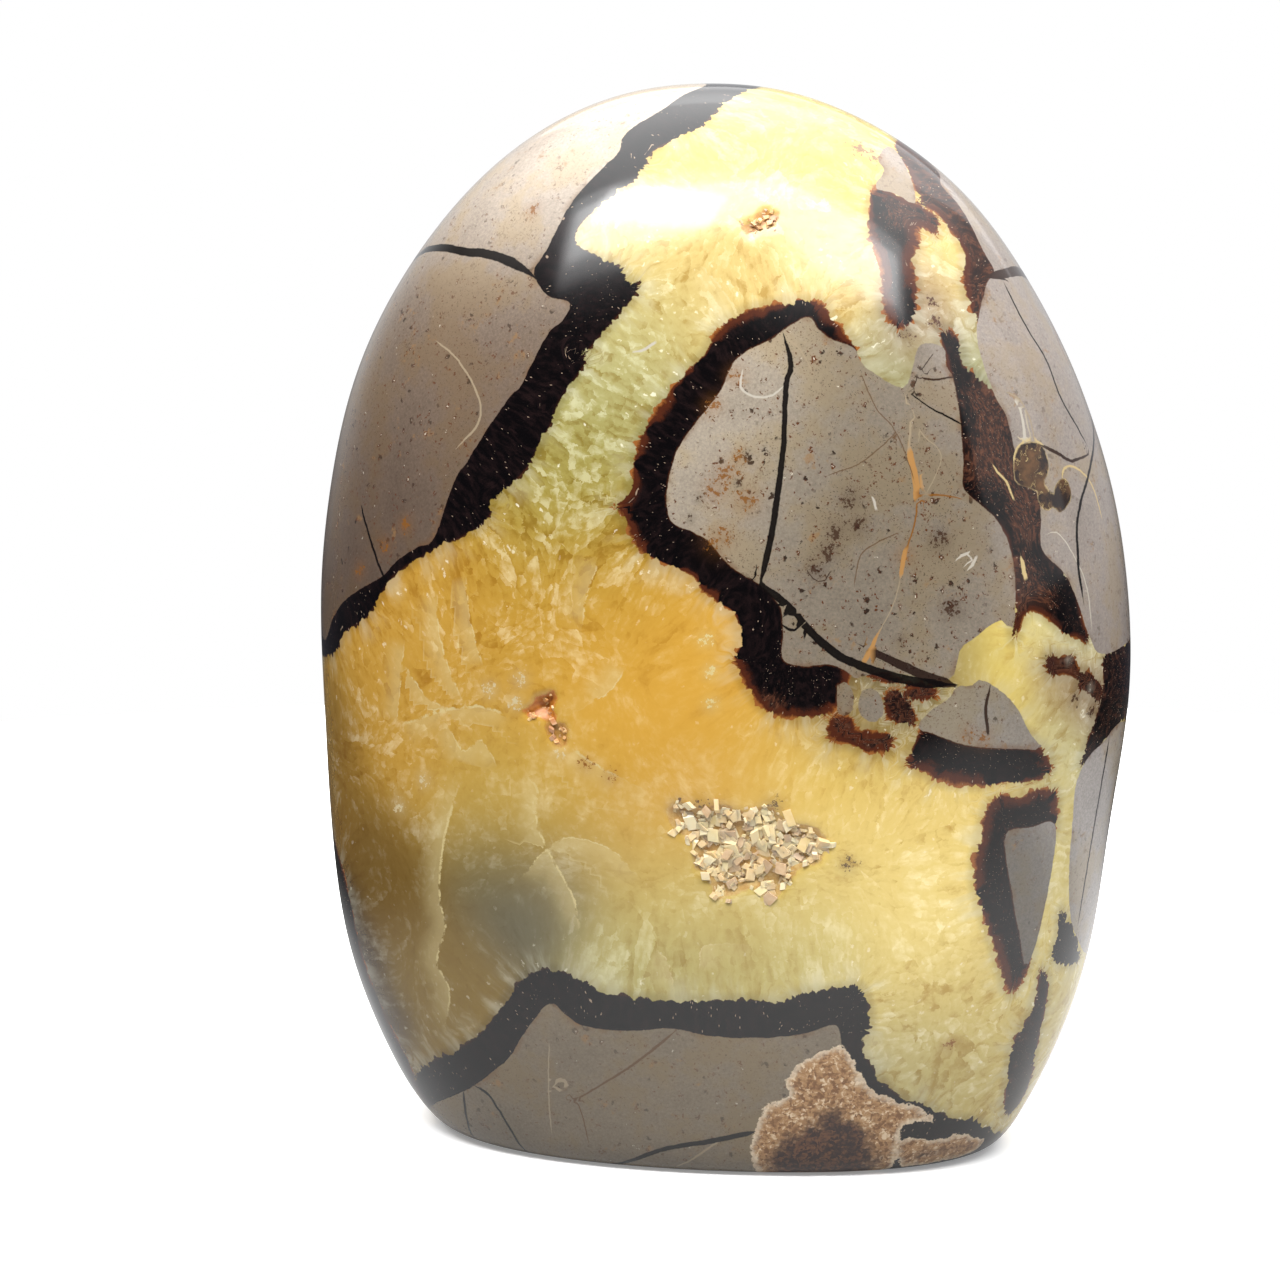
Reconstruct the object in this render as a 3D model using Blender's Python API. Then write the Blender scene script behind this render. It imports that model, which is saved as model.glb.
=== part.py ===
"""A polished septarian nodule, one stone, standing on a small ground flat.

Metres, +Z up. The origin is under the middle of the stone, in the plane of the flat.
The broad face with the crystal hollows looks along -Y.
"""
import math

import bmesh
import bpy
import numpy as np
from mathutils import Vector
from mathutils.bvhtree import BVHTree

MM = 0.001

# Driving dimensions
HEIGHT = 150 * MM
HALF_DEPTH = 36 * MM
FULLNESS = 2.4        # 2 is an ellipsoid; more is flatter in face and back, rounder at the rim
TURN = 0.12           # the left side lies this much further back than the right, per unit of x
CENTRE = Vector((0, 0, 70 * MM))
BASE_EASE = 0.8 * MM  # the ground edge is eased to about this size

# The stone's outline seen from the front, as (x, z) in mm, with z counted from the flat.
# It runs on under the flat, where the stone was ground away.
OUTLINE_MM = (
    (0, 150), (14, 147.5), (25, 142), (34, 132.5), (42, 122), (49, 110), (54.5, 94), (56, 79),
    (56, 62), (55, 46), (52.5, 31), (47, 16), (39, 0), (29, -11), (13, -18), (-10, -17), (-31, -9),
    (-45, 4), (-51.5, 18), (-55, 34), (-57, 50), (-58, 67), (-57, 87), (-53, 105), (-47, 121),
    (-38, 134), (-25, 143), (-11, 148),
)
OUTLINE_WAVES = 6     # the outline is smoothed to this many waves around

# Crystal hollows in the face: name, (x, z) of the middle, half width, half height and depth, in mm
HOLLOWS_MM = (
    ("vug_cutter", (4, 47.5), 9.5, 5.8, 2.6),
    ("side_vug_cutter", (-24, 65.5), 4.2, 2.6, 2.2),
)

# How finely the curved surface is divided
COLUMNS = 72
ROWS = 40

STONE_COLOUR = (0.60, 0.46, 0.22, 1)
STONE_ROUGHNESS = 0.12
CREASE_ANGLE = math.radians(40)


def clear_scene():
    for obj in list(bpy.data.objects):
        bpy.data.objects.remove(obj, do_unlink=True)


def wave_terms(angles):
    terms = [np.ones_like(angles)]
    for wave in range(1, OUTLINE_WAVES + 1):
        terms += [np.cos(wave * angles), np.sin(wave * angles)]
    return np.stack(terms, axis=-1)


def outline_waves():
    """Fit the outline's distance from the centre as a short sum of waves in the angle."""
    across, up = (np.array(OUTLINE_MM) * MM - (CENTRE.x, CENTRE.z)).T
    return np.linalg.lstsq(wave_terms(np.arctan2(up, across)), np.hypot(across, up), rcond=None)[0]


WAVES = outline_waves()


def surface_point(direction):
    """The point of the unground stone that lies in this direction from its centre."""
    across, back, up = direction
    outline_distance = float(wave_terms(np.array(math.atan2(up, across))) @ WAVES)
    in_outline = math.hypot(across, up) / outline_distance
    in_depth = abs(back + TURN * across) / HALF_DEPTH
    return CENTRE + direction * (in_outline ** FULLNESS + in_depth ** FULLNESS) ** (-1 / FULLNESS)


def slanted(tilt, heading):
    """A direction tilted away from straight up, towards a heading around the stone."""
    return Vector((math.sin(tilt) * math.cos(heading), math.sin(tilt) * math.sin(heading), math.cos(tilt)))


def tilt_at_flat(heading):
    """How far down from straight up the surface meets the plane of the flat, found by halving."""
    low = math.pi / 2
    high = math.pi
    for _ in range(40):
        middle = (low + high) / 2
        if surface_point(slanted(middle, heading)).z > 0:
            low = middle
        else:
            high = middle
    return low


def ring_of_vertices(mesh, row, headings, flat_tilts):
    ring = []
    for heading, flat_tilt in zip(headings, flat_tilts):
        point = surface_point(slanted(flat_tilt * row / ROWS, heading))
        if row == ROWS:
            point.z = 0
        ring.append(mesh.verts.new(point))
    return ring


def join_rings(mesh, upper, lower):
    for column in range(COLUMNS):
        following = (column + 1) % COLUMNS
        mesh.faces.new((upper[column], lower[column], lower[following], upper[following]))


def cap_top(mesh, ring):
    top = mesh.verts.new(surface_point(Vector((0, 0, 1))))
    for column in range(COLUMNS):
        mesh.faces.new((top, ring[column], ring[(column + 1) % COLUMNS]))


def settle(mesh):
    """Stretch the stone to its height and put the middle of its box over the origin."""
    places = np.array([vert.co for vert in mesh.verts])
    middle = (places.min(axis=0) + places.max(axis=0)) / 2
    stretch = HEIGHT / places[:, 2].max()
    for vert in mesh.verts:
        vert.co = (vert.co.x - middle[0], vert.co.y - middle[1], vert.co.z * stretch)


def stone_form():
    """The whole stone without its hollows: rings from the top down to the flat."""
    mesh = bmesh.new()
    headings = [2 * math.pi * column / COLUMNS for column in range(COLUMNS)]
    flat_tilts = [tilt_at_flat(heading) for heading in headings]
    rings = [ring_of_vertices(mesh, row, headings, flat_tilts) for row in range(1, ROWS + 1)]
    cap_top(mesh, rings[0])
    for upper, lower in zip(rings, rings[1:]):
        join_rings(mesh, upper, lower)
    flat = mesh.faces.new(reversed(rings[-1]))
    settle(mesh)
    bmesh.ops.bevel(mesh, geom=list(flat.edges), offset=BASE_EASE, segments=2, affect="EDGES")
    return mesh


def stone_material():
    material = bpy.data.materials.new("septarian_stone")
    material.use_nodes = True
    shader = material.node_tree.nodes["Principled BSDF"]
    shader.inputs["Base Color"].default_value = STONE_COLOUR
    shader.inputs["Roughness"].default_value = STONE_ROUGHNESS
    shader.inputs["Metallic"].default_value = 0
    material.diffuse_color = STONE_COLOUR
    return material


def stone_object(form):
    data = bpy.data.meshes.new("nodule")
    form.to_mesh(data)
    data.shade_smooth()
    data.set_sharp_from_angle(angle=CREASE_ANGLE)
    data.materials.append(stone_material())
    nodule = bpy.data.objects.new("nodule", data)
    bpy.context.collection.objects.link(nodule)
    return nodule


def hollow_cutter(face, name, middle, half_width, half_height, depth):
    """A squashed ball centred on the face, whose inner half takes out the hollow."""
    x, z = middle
    place, outwards, _, _ = face.ray_cast(Vector((x * MM, -1, z * MM)), Vector((0, 1, 0)))
    bpy.ops.mesh.primitive_ico_sphere_add(subdivisions=3, radius=1)
    cutter = bpy.context.object
    cutter.name = name
    cutter.location = place
    cutter.rotation_euler = outwards.to_track_quat("Z", "Y").to_euler()
    cutter.scale = (half_width * MM, half_height * MM, depth * MM)
    cutter.hide_render = True
    cutter.display_type = "WIRE"
    return cutter


def cut_hollow(nodule, cutter):
    cut = nodule.modifiers.new(cutter.name, "BOOLEAN")
    cut.operation = "DIFFERENCE"
    cut.solver = "EXACT"
    cut.object = cutter


def build():
    clear_scene()
    form = stone_form()
    nodule = stone_object(form)
    face = BVHTree.FromBMesh(form)
    form.free()
    for hollow in HOLLOWS_MM:
        cut_hollow(nodule, hollow_cutter(face, *hollow))


build()
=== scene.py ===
"""A polished septarian nodule: grey-brown stone blocks, near-black bands and yellow calcite.

One finely divided mesh stands for the CAD stone. Where each material lies is worked out from
outlines drawn on the surface: every vertex holds its distance to the nearest edge, and the
material turns those distances into bands, teeth, cracks and veins.
Lengths are millimetres until a mesh is made. Directions start at the stone's centre.
"""
import math

import bpy
import numpy as np
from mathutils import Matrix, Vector
from mathutils.kdtree import KDTree


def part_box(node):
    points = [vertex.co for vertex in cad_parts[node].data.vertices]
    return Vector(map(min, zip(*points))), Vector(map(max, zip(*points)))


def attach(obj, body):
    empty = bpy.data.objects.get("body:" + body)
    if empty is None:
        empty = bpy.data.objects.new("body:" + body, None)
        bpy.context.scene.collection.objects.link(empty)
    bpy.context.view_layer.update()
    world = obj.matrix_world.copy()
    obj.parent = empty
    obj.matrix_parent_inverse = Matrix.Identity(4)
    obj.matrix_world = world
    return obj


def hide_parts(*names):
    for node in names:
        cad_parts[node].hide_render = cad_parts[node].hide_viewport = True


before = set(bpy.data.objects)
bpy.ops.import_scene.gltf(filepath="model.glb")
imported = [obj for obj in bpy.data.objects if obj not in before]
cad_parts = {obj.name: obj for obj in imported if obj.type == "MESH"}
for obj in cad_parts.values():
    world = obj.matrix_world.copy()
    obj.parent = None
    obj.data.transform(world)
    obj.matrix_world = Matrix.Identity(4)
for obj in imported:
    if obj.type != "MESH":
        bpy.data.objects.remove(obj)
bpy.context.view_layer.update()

MM = 0.001
rng = np.random.default_rng(7)

# The stone's form, with the same driving dimensions as the CAD part
CENTRE_HEIGHT = 70.0
HALF_DEPTH = 36.0
FULLNESS = 2.4         # 2 is an ellipsoid; more is flatter in face and back, rounder at the rim
TURN = 0.12            # the left side lies this much further back than the right, per mm
EDGE_CRISPNESS = 60    # how sharply the ground flat meets the curved side
OUTLINE = (
    (0, 150), (14, 147.5), (25, 142), (34, 132.5), (42, 122), (49, 110), (54.5, 94), (56, 79),
    (56, 62), (55, 46), (52.5, 31), (47, 16), (39, 0), (29, -11), (13, -18), (-10, -17), (-31, -9),
    (-45, 4), (-51.5, 18), (-55, 34), (-57, 50), (-58, 67), (-57, 87), (-53, 105), (-47, 121),
    (-38, 134), (-25, 143), (-11, 148),
)
OUTLINE_WAVES = 6      # the outline is smoothed to this many waves around

# The grid on the surface: a box's grid blown up to the stone, with this many cells along x, y and z
BOX_HALF = np.array((57.0, 36.0, 75.0))
CELLS = (118, 113, 155)
UV_MARGIN = 3

# The photograph's camera
VIEW_ELEVATION = math.radians(8)
VIEW_DISTANCE = 507.94
VIEW_AIM = np.array((-11.4, 0, 71.4))
LENS = 100.0
SENSOR = 36.0
PICTURE = 1280         # pixels along each side of the photograph
RAY_REACH = 90.0       # how far before and behind the aim a view ray looks for the stone
RAY_STEPS = 361        # how many places it tries
HALVINGS = 30          # how often the place where it meets the stone is narrowed down

CURVE_STEP = 0.5       # spacing of the points along an outline
FAR = 15.0             # distances are told apart up to this
FAN = 5.0              # how far crystal fibres spread where a wall turns
LINE_REACH = 6.0       # how far from a thin line its effect goes
GROWTH_ROUNDS = 30     # how often the heading of the fibres is averaged with its neighbours
SURFACE_SHARE = 0.62   # surface colour for a display colour, as the studio's light is bright
TINY = 1e-9            # keeps divisions off zero


def wave_terms(angles):
    terms = [np.ones_like(angles)]
    for wave in range(1, OUTLINE_WAVES + 1):
        terms += [np.cos(wave * angles), np.sin(wave * angles)]
    return np.stack(terms, axis=-1)


def outline_waves():
    """Fit the outline's distance from the centre as a short sum of waves in the angle."""
    across, up = (np.array(OUTLINE) - (0, CENTRE_HEIGHT)).T
    return np.linalg.lstsq(wave_terms(np.arctan2(up, across)), np.hypot(across, up), rcond=None)[0]


WAVES = outline_waves()


def fill(points):
    """How far out points lie: 0 at the centre, 1 on the surface."""
    x, y, z = np.moveaxis(points, -1, 0)
    in_outline = np.hypot(x, z) / (wave_terms(np.arctan2(z, x)) @ WAVES)
    in_depth = np.abs(y + TURN * x) / HALF_DEPTH
    in_stone = (in_outline ** FULLNESS + in_depth ** FULLNESS) ** (1 / FULLNESS)
    in_flat = np.maximum(-z, 0) / CENTRE_HEIGHT
    return (in_stone ** EDGE_CRISPNESS + in_flat ** EDGE_CRISPNESS) ** (1 / EDGE_CRISPNESS)


def unit(vectors):
    return vectors / np.linalg.norm(vectors, axis=-1, keepdims=True)


def on_surface(directions):
    return directions / fill(directions)[..., None]


def surface_normals(points):
    """Outward normals, from how quickly the fill grows along each axis."""
    nudge = 1e-3
    slopes = [fill(points + nudge * axis) - fill(points - nudge * axis) for axis in np.eye(3)]
    return unit(np.stack(slopes, axis=-1))


def box_directions():
    """Directions to the points of a box's surface grid, and each point's number in the grid."""
    steps = [np.tan(np.linspace(-math.pi / 4, math.pi / 4, count + 1)) for count in CELLS]
    index = np.full([count + 1 for count in CELLS], -1)
    skin = np.ones(index.shape, bool)
    skin[1:-1, 1:-1, 1:-1] = False
    index[skin] = np.arange(skin.sum())
    places = np.argwhere(skin)
    corners = np.stack([steps[axis][places[:, axis]] for axis in range(3)], axis=-1) * BOX_HALF
    return unit(corners), index


def squares(grid):
    """The four corners of each square of a flat grid, in turn."""
    return np.stack((grid[:-1, :-1], grid[1:, :-1], grid[1:, 1:], grid[:-1, 1:]), axis=2)


def box_quads(index):
    """Quads of the six sides, and where their corners lie on a flat sheet of three by two sides."""
    sheet_width = 3 * max(CELLS[0], CELLS[1]) + 4 * UV_MARGIN
    slot_size = np.array((CELLS[0], CELLS[2])) + UV_MARGIN
    quads = []
    sheets = []
    for axis in range(3):
        for end in (0, -1):
            side = np.take(index, end, axis=axis)
            slot = (len(quads) % 3, len(quads) // 3)
            flat = (np.stack(np.indices(side.shape), axis=-1) + UV_MARGIN + slot_size * slot) / sheet_width
            turn = -1 if (end == 0) != (axis == 1) else 1
            quads.append(squares(side)[:, :, ::turn].reshape(-1, 4))
            sheets.append(squares(flat)[:, :, ::turn].reshape(-1, 4, 2))
    return np.concatenate(quads), np.concatenate(sheets)


DIRECTIONS, GRID = box_directions()
POINTS = on_surface(DIRECTIONS)
NORMALS = surface_normals(POINTS)

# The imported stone's box says where the form lies in the frame
low_corner, high_corner = (np.array(corner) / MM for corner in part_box("nodule"))
FORM_LOW = POINTS.min(axis=0)
STRETCH = (high_corner - low_corner) / (POINTS.max(axis=0) - FORM_LOW)


def to_frame(points):
    return (points - FORM_LOW) * STRETCH + low_corner


def to_form(points):
    return (points - low_corner) / STRETCH + FORM_LOW


def smooth_step(values, low, high):
    share = np.clip((values - low) / (high - low), 0, 1)
    return share * share * (3 - 2 * share)


def wandered(points):
    """Points shifted a little over the surface, so that outlines with few points wander. Not in front."""
    shift = np.zeros_like(points)
    for length, size in ((31, 1.3), (19, 1.1), (12, 0.8), (7, 0.5)):
        heading = unit(rng.normal(size=3))
        wave = np.sin(points @ heading * 2 * math.pi / length + rng.uniform(0, 2 * math.pi))
        shift += size * wave[:, None] * unit(rng.normal(size=3))
    return on_surface(unit(points + shift * smooth_step(points[:, 1], -8, 6)[:, None]))


WANDERED = wandered(POINTS)

FORWARD = np.array((0, math.cos(VIEW_ELEVATION), -math.sin(VIEW_ELEVATION)))
UPWARD = np.array((0, math.sin(VIEW_ELEVATION), math.cos(VIEW_ELEVATION)))
RIGHTWARD = np.array((1.0, 0, 0))
EYE = VIEW_AIM - FORWARD * VIEW_DISTANCE


def front(*pixels):
    """Directions to the stone's surface behind pixels of the photograph, given as x,y, x,y and so on.
    A pixel just off the stone takes its rim."""
    offsets = (np.reshape(pixels, (-1, 2)) - PICTURE / 2) / (LENS / SENSOR * PICTURE)
    rays = unit(FORWARD + RIGHTWARD * offsets[:, :1] - UPWARD * offsets[:, 1:])
    depths = np.linspace(VIEW_DISTANCE - RAY_REACH, VIEW_DISTANCE + RAY_REACH, RAY_STEPS)
    fills = fill(to_form(EYE + rays[:, None, :] * depths[None, :, None]))
    deepest = depths[fills.argmin(axis=1)]
    meets = fills.min(axis=1) < 1
    near = np.full_like(deepest, depths[0])
    far = deepest.copy()
    for _ in range(HALVINGS):
        middle = (near + far) / 2
        outside = fill(to_form(EYE + rays * middle[:, None])) > 1
        near = np.where(outside, middle, near)
        far = np.where(outside, far, middle)
    depth = np.where(meets, far, deepest)
    return unit(to_form(EYE + rays * depth[:, None]))


def around(*turns):
    """Directions given as longitude,latitude in degrees: longitude 0 is the front and 90 the right side."""
    lon, lat = np.radians(np.reshape(turns, (-1, 2))).T
    return np.stack((np.sin(lon) * np.cos(lat), -np.cos(lon) * np.cos(lat), np.sin(lat)), axis=-1)


def curve(*parts, closed=True):
    """A smooth line through directions, as close points on the surface."""
    knots = on_surface(np.concatenate(parts))
    if closed:
        before, after, last = knots[[-1]], knots[:2], len(knots)
    else:
        before, after, last = knots[:1], knots[-1:], len(knots) - 1
    knots = np.concatenate((before, knots, after))
    pieces = []
    for a, b, c, d in zip(knots, knots[1:last + 1], knots[2:], knots[3:]):
        count = max(2, math.ceil(np.linalg.norm(c - b) / CURVE_STEP))
        t = (np.arange(count) / count)[:, None]
        pieces.append(0.5 * (2 * b + (c - a) * t + (2 * a - 5 * b + 4 * c - d) * t ** 2
                             + (3 * b - a - 3 * c + d) * t ** 3))
    if not closed:
        pieces.append(knots[-1:])
    return on_surface(unit(np.concatenate(pieces)))


def feet(points, line, closed):
    """The nearest place on a line for each point, the line's heading there and how far along it lies."""
    tree = KDTree(len(line))
    for number, place in enumerate(line):
        tree.insert(place, number)
    tree.balance()
    nearest = np.array([tree.find(point)[1] for point in points])
    if closed:
        before, after = (nearest - 1) % len(line), (nearest + 1) % len(line)
    else:
        before, after = np.maximum(nearest - 1, 0), np.minimum(nearest + 1, len(line) - 1)
    best = np.full(len(points), np.inf)
    foot = np.zeros_like(points)
    along = np.zeros(len(points))
    for start, end in ((before, nearest), (nearest, after)):
        run = line[end] - line[start]
        length_squared = np.maximum((run ** 2).sum(axis=1), TINY)
        share = np.clip(((points - line[start]) * run).sum(axis=1) / length_squared, 0, 1)
        place = line[start] + run * share[:, None]
        distance = np.linalg.norm(points - place, axis=1)
        closer = distance < best
        best = np.where(closer, distance, best)
        foot = np.where(closer[:, None], place, foot)
        along = np.where(closer, start + share, along)
    heading = unit(line[after] - line[before] + TINY)
    return foot, best, heading, along / len(line)


def chart(directions, middle):
    """Lay directions flat around a middle one, true in angle from it."""
    right = unit(np.cross(middle, (0.3, 0.5, 0.81)))
    upright = np.cross(middle, right)
    angle = np.arccos(np.clip(directions @ middle, -1, 1))
    flat = np.stack((directions @ right, directions @ upright), axis=-1)
    return flat / np.maximum(np.linalg.norm(flat, axis=-1, keepdims=True), TINY) * angle[:, None]


def inside(directions, outline):
    """Which directions lie inside a closed outline, by counting crossings on the chart."""
    middle = unit(unit(outline).mean(axis=0))
    x, y = chart(directions, middle).T
    corners = chart(unit(outline), middle)
    crossings = np.zeros(len(directions), int)
    for (x0, y0), (x1, y1) in zip(corners, np.roll(corners, -1, axis=0)):
        spans = (y0 > y) != (y1 > y)
        level = y[spans]
        crossings[spans] += x[spans] < x0 + (level - y0) / (y1 - y0) * (x1 - x0)
    return crossings % 2 == 1


def near_box(line, reach):
    low, high = line.min(axis=0) - reach, line.max(axis=0) + reach
    return ((POINTS > low) & (POINTS < high)).all(axis=1)


def edge_fields(areas):
    """Signed distance to the nearest area's edge, less than 0 inside, with the wall's foot and way out."""
    signed = np.full(len(POINTS), FAR)
    growth = POINTS.copy()
    owner = np.zeros(len(POINTS), int)
    for number, outline in enumerate(areas):
        close = np.flatnonzero(near_box(outline, FAR))
        foot, distance, heading, _ = feet(WANDERED[close], outline, True)
        within = inside(unit(WANDERED[close]), outline)
        value = np.where(within, -distance, distance)
        outwards = np.cross(heading, NORMALS[close])
        outwards *= np.where(((WANDERED[close] - foot) * outwards).sum(axis=1) * value < 0, -1, 1)[:, None]
        better = value < signed[close]
        chosen = close[better]
        signed[chosen] = value[better]
        growth[chosen] = (foot + FAN * outwards)[better]
        owner[chosen] = number
    return signed, growth, owner


def smoothed(values, quads, rounds):
    """Values at the vertices, each averaged with its neighbours this many times."""
    corners = quads.ravel()
    shares = np.bincount(corners, minlength=len(values))
    for _ in range(rounds):
        middles = np.repeat(values[quads].mean(axis=1), 4, axis=0)
        values = np.stack([np.bincount(corners, part, len(shares)) / shares for part in middles.T], axis=-1)
    return values


def line_fields(lines):
    """For thin lines: the signed distance across the nearest one, the plain distance, half its width and
    its colour, with a fourth part that fades out at the line's ends."""
    near = np.full(len(POINTS), FAR)
    side = np.full(len(POINTS), FAR)
    half = np.zeros(len(POINTS))
    colour = np.zeros((len(POINTS), 4))
    for tone, start_width, end_width, *parts in lines:
        line = curve(*parts, closed=False)
        close = np.flatnonzero(near_box(line, LINE_REACH))
        foot, distance, heading, along = feet(WANDERED[close], line, False)
        across = ((WANDERED[close] - foot) * np.cross(heading, NORMALS[close])).sum(axis=1)
        better = distance < near[close]
        chosen = close[better]
        near[chosen] = distance[better]
        side[chosen] = across[better]
        taper = smooth_step(along, -0.02, 0.12) * smooth_step(1 - along, -0.02, 0.12)
        half[chosen] = ((start_width + (end_width - start_width) * along) * taper)[better] / 2
        fade = smooth_step(along, 0, 0.2) * smooth_step(1 - along, 0, 0.2)
        colour[chosen, :3] = linear(tone)
        colour[chosen, 3] = fade[better]
    return side, near, half, colour


def linear(tone):
    """The surface colour that shows as this display colour, 0 to 255, in the studio's light."""
    share = np.array(tone) / 255
    return np.where(share <= 0.04045, share / 12.92, ((share + 0.055) / 1.055) ** 2.4) * SURFACE_SHARE


def nearness(middle, radius):
    """1 at a place on the surface, falling off softly over a radius."""
    return np.exp(-((POINTS - middle) ** 2).sum(axis=1) / (2 * radius ** 2))


def blended_tints(patches):
    """Soft patches faded into one another: (display colour, a fourth value, radius, middles)."""
    total = np.zeros(len(POINTS))
    blend = np.zeros((len(POINTS), 4))
    for tone, fourth, radius, middles in patches:
        for middle in on_surface(middles):
            weight = nearness(middle, radius) + TINY
            total += weight
            blend += weight[:, None] * (*linear(tone), fourth)
    return blend / total[:, None]


def crowds(patches):
    """Colour of the nearest crowd of spots at each vertex, with how thick it is there as a fourth part."""
    thickest = np.zeros((len(POINTS), 4))
    for tone, radius, middles in patches:
        for middle in on_surface(middles):
            weight = nearness(middle, radius)
            thicker = weight > thickest[:, 3]
            thickest[thicker, :3] = linear(tone)
            thickest[thicker, 3] = weight[thicker]
    return thickest


# Outlines of the dark areas, drawn on their calcite side. Each also runs under its stone block.
LEFT_DARK = curve(
    front(756,88, 712,116, 696,130, 653,151, 645,167, 631,183, 605,202, 580,223, 575,237, 580,247, 618,266,
          626,277, 637,291, 591,347, 582,355, 586,363, 559,403, 554,419, 540,443, 530,464, 508,488,
          495,499, 481,526, 430,552, 393,577, 374,609, 361,622, 345,633, 334,654),
    around(-92,0, -104,4, -118,8, -132,18, -148,26, -163,38, -170,52, 178,66, 150,80, 100,86))
MIDDLE_DARK = curve(
    front(855,346, 832,317, 822,302, 803,299, 747,310, 718,327, 705,353, 679,379, 640,437, 629,491,
          614,506, 623,518, 639,550, 689,575, 701,590, 717,603, 734,614, 741,643, 734,663, 760,705,
          786,718, 816,718, 835,711, 852,674, 880,600, 880,450, 862,372))
BOOT_DARK = curve(
    front(873,187, 895,192, 920,204, 938,218, 937,236, 924,229, 919,232, 920,246, 913,260, 917,279,
          916,314, 902,330, 886,319, 881,295, 882,274, 878,256, 868,235, 870,204))
RIGHT_DARK = curve(
    front(896,134, 895,148, 906,168, 921,204, 938,215, 961,246, 965,260, 963,281, 978,322, 1000,330,
          1060,450, 1100,600, 1126,640),
    around(86,2, 102,1, 120,6, 139,14, 151,28, 153,44, 141,59, 121,70, 96,74, 82,73))
WEDGE_DARK = curve(
    front(941,331, 954,331, 962,350, 966,368, 980,378, 1012,413, 1024,457, 1044,500, 1050,520, 1050,548,
          1075,586, 1084,620, 1090,636, 1087,645, 1080,640, 1063,633, 1052,622, 1028,612, 1015,640,
          1011,628, 1014,600, 1010,560, 1000,530, 960,500, 955,450, 943,350))
BRECCIA_DARK = curve(
    front(828,722, 836,712, 852,716, 856,726, 893,735, 887,753, 868,752, 848,744, 829,741))
SQUARE_DARK = curve(front(884,693, 890,689, 900,690, 912,708, 917,722, 912,727, 890,720, 884,710))
STRIP_DARK = curve(front(862,664, 874,666, 905,680, 892,684, 876,681, 864,674))
OVAL_DARK = curve(front(903,686, 914,681, 930,684, 939,692, 932,700, 918,701, 906,695))
FLAKES_DARK = curve(
    front(1044,662, 1050,654, 1060,657, 1072,655, 1078,668, 1088,672, 1098,680, 1103,694, 1096,704,
          1087,694, 1078,690, 1074,678, 1062,674, 1050,676))
PATCH_DARK = curve(
    front(919,729, 914,742, 905,764, 925,773, 940,782, 985,787, 1005,782, 1020,784, 1046,777, 1051,767,
          1045,750, 1035,742, 1010,715, 985,695, 960,700, 935,715))
BELT_DARK = curve(
    front(1105,655, 1126,644),
    around(86,4, 100,5, 114,4, 122,-3, 114,-10, 96,-10, 84,-9),
    front(1121,721, 1104,741, 1080,764, 1102,690))
LOOP_DARK = curve(
    front(998,796, 985,812, 981,835, 975,858, 975,890, 985,923, 1007,991, 1020,985, 1031,962, 1035,930,
          1045,860, 1056,828, 1057,793, 1040,788, 1020,795))
SLIVER_DARK = curve(
    front(1041,968, 1048,985, 1037,1045, 1027,1090, 1010,1115, 1004,1105, 1010,1050, 1031,1008, 1037,985))
NOTCH_DARK = curve(front(1063,911, 1079,958, 1054,960, 1058,935))
LOWER_DARK = curve(
    front(417,1073, 472,1041, 490,1023, 508,997, 525,977, 549,969, 584,980, 613,994, 740,1000, 779,1002,
          800,993, 836,988, 857,985, 866,996, 870,1026, 862,1044, 868,1062, 895,1094, 925,1105, 950,1118,
          978,1122, 1006,1137),
    around(82,-60, 102,-64, 130,-66, 165,-64, -152,-60, -122,-58, -95,-59))
CORNER_DARK = curve(
    around(-83,-31, -80,-42, -79,-53, -90,-56, -110,-54, -128,-48, -136,-36, -126,-26, -104,-23, -90,-26))
BACK_DARK = curve(
    around(176,20, -164,14, -150,4, -142,-8, -146,-22, -158,-36, -176,-42, 164,-44, 146,-36, 134,-22,
           134,-4, 146,8, 160,14))
RIGHT_LOW_DARK = curve(
    front(1084,930, 1090,880, 1100,800),
    around(82,-8, 100,-8, 114,-11, 121,-24, 107,-35, 90,-39, 80,-40))

# Dark areas: how much orange at the rim, how brown inside, outline
DARK_AREAS = (
    (0.12, 0.0, LEFT_DARK), (0.8, 0.1, MIDDLE_DARK), (1.0, 0.3, BOOT_DARK), (0.7, 0.9, RIGHT_DARK),
    (0.4, 0.3, WEDGE_DARK), (1.2, 0.8, BRECCIA_DARK), (0.4, 0.7, SQUARE_DARK), (0.6, 0.8, STRIP_DARK),
    (0.9, 1.0, OVAL_DARK), (0.3, 0.9, FLAKES_DARK), (1.0, 0.1, PATCH_DARK),
    (0.2, 0.5, BELT_DARK), (0.9, 0.3, LOOP_DARK), (0.3, 0.4, SLIVER_DARK), (0.1, 0.2, NOTCH_DARK),
    (0.10, 0.05, LOWER_DARK), (0.5, 0.3, CORNER_DARK), (0.8, 0.3, BACK_DARK), (0.4, 0.4, RIGHT_LOW_DARK),
)

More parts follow.
